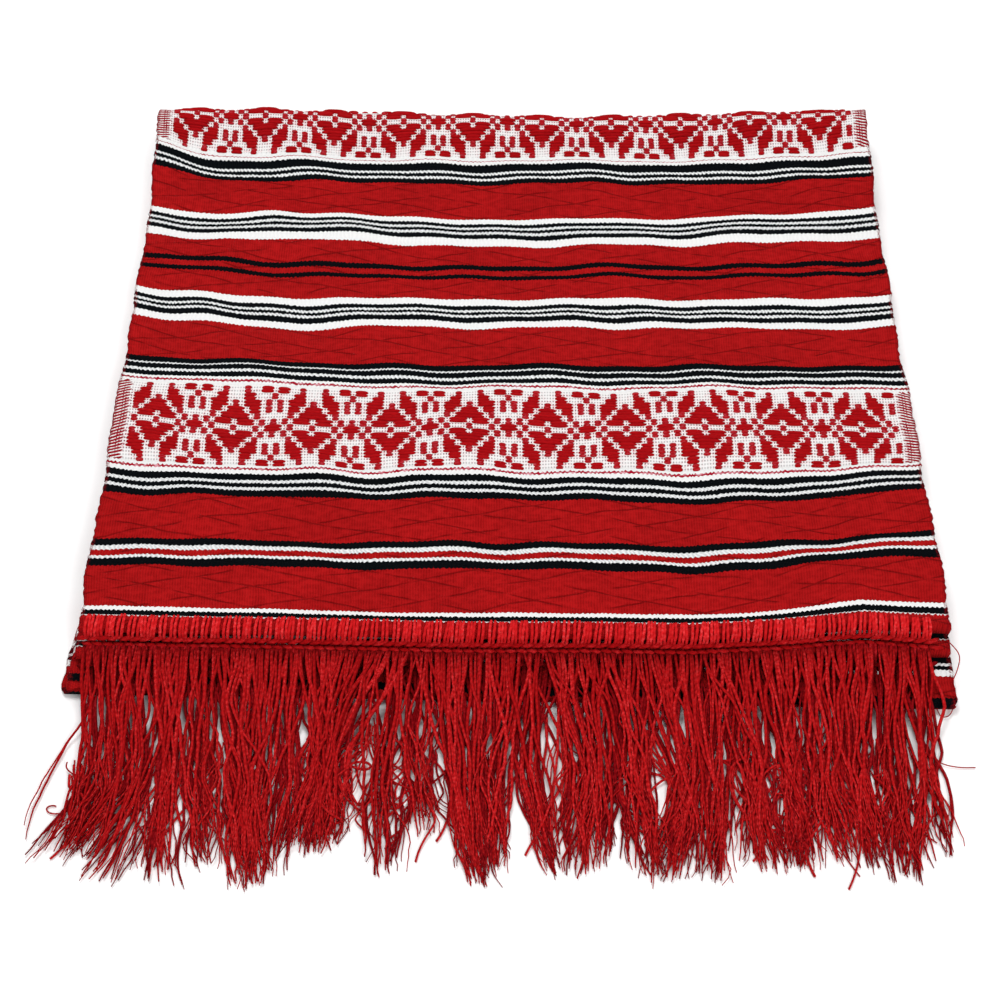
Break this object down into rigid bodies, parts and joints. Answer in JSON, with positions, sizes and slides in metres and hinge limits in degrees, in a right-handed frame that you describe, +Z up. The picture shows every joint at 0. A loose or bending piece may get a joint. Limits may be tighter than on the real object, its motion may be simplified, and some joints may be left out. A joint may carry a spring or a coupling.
{
  "type": "folded ritual towel",
  "caption": "Woven ritual towel folded into four flat layers, with a yarn trim and long fringe at both ends.",
  "frame": {"origin": "on the surface the towel rests on, at the centre of its outline, fringes included", "axes": "+Z up, -Y towards the fringed ends, +Y towards the back fold, X along the width"},
  "size_m": [0.3062, 0.372, 0.0202],
  "materials": {
    "woven_cloth": "matt woven stripes in red, white and black with a raised red pattern",
    "red_yarn": "soft matt plied yarn"
  },
  "bodies": {
    "root": {"cloth": "woven_cloth", "fringe_upper": "red_yarn", "fringe_under": "red_yarn"}
  },
  "joints": []
}
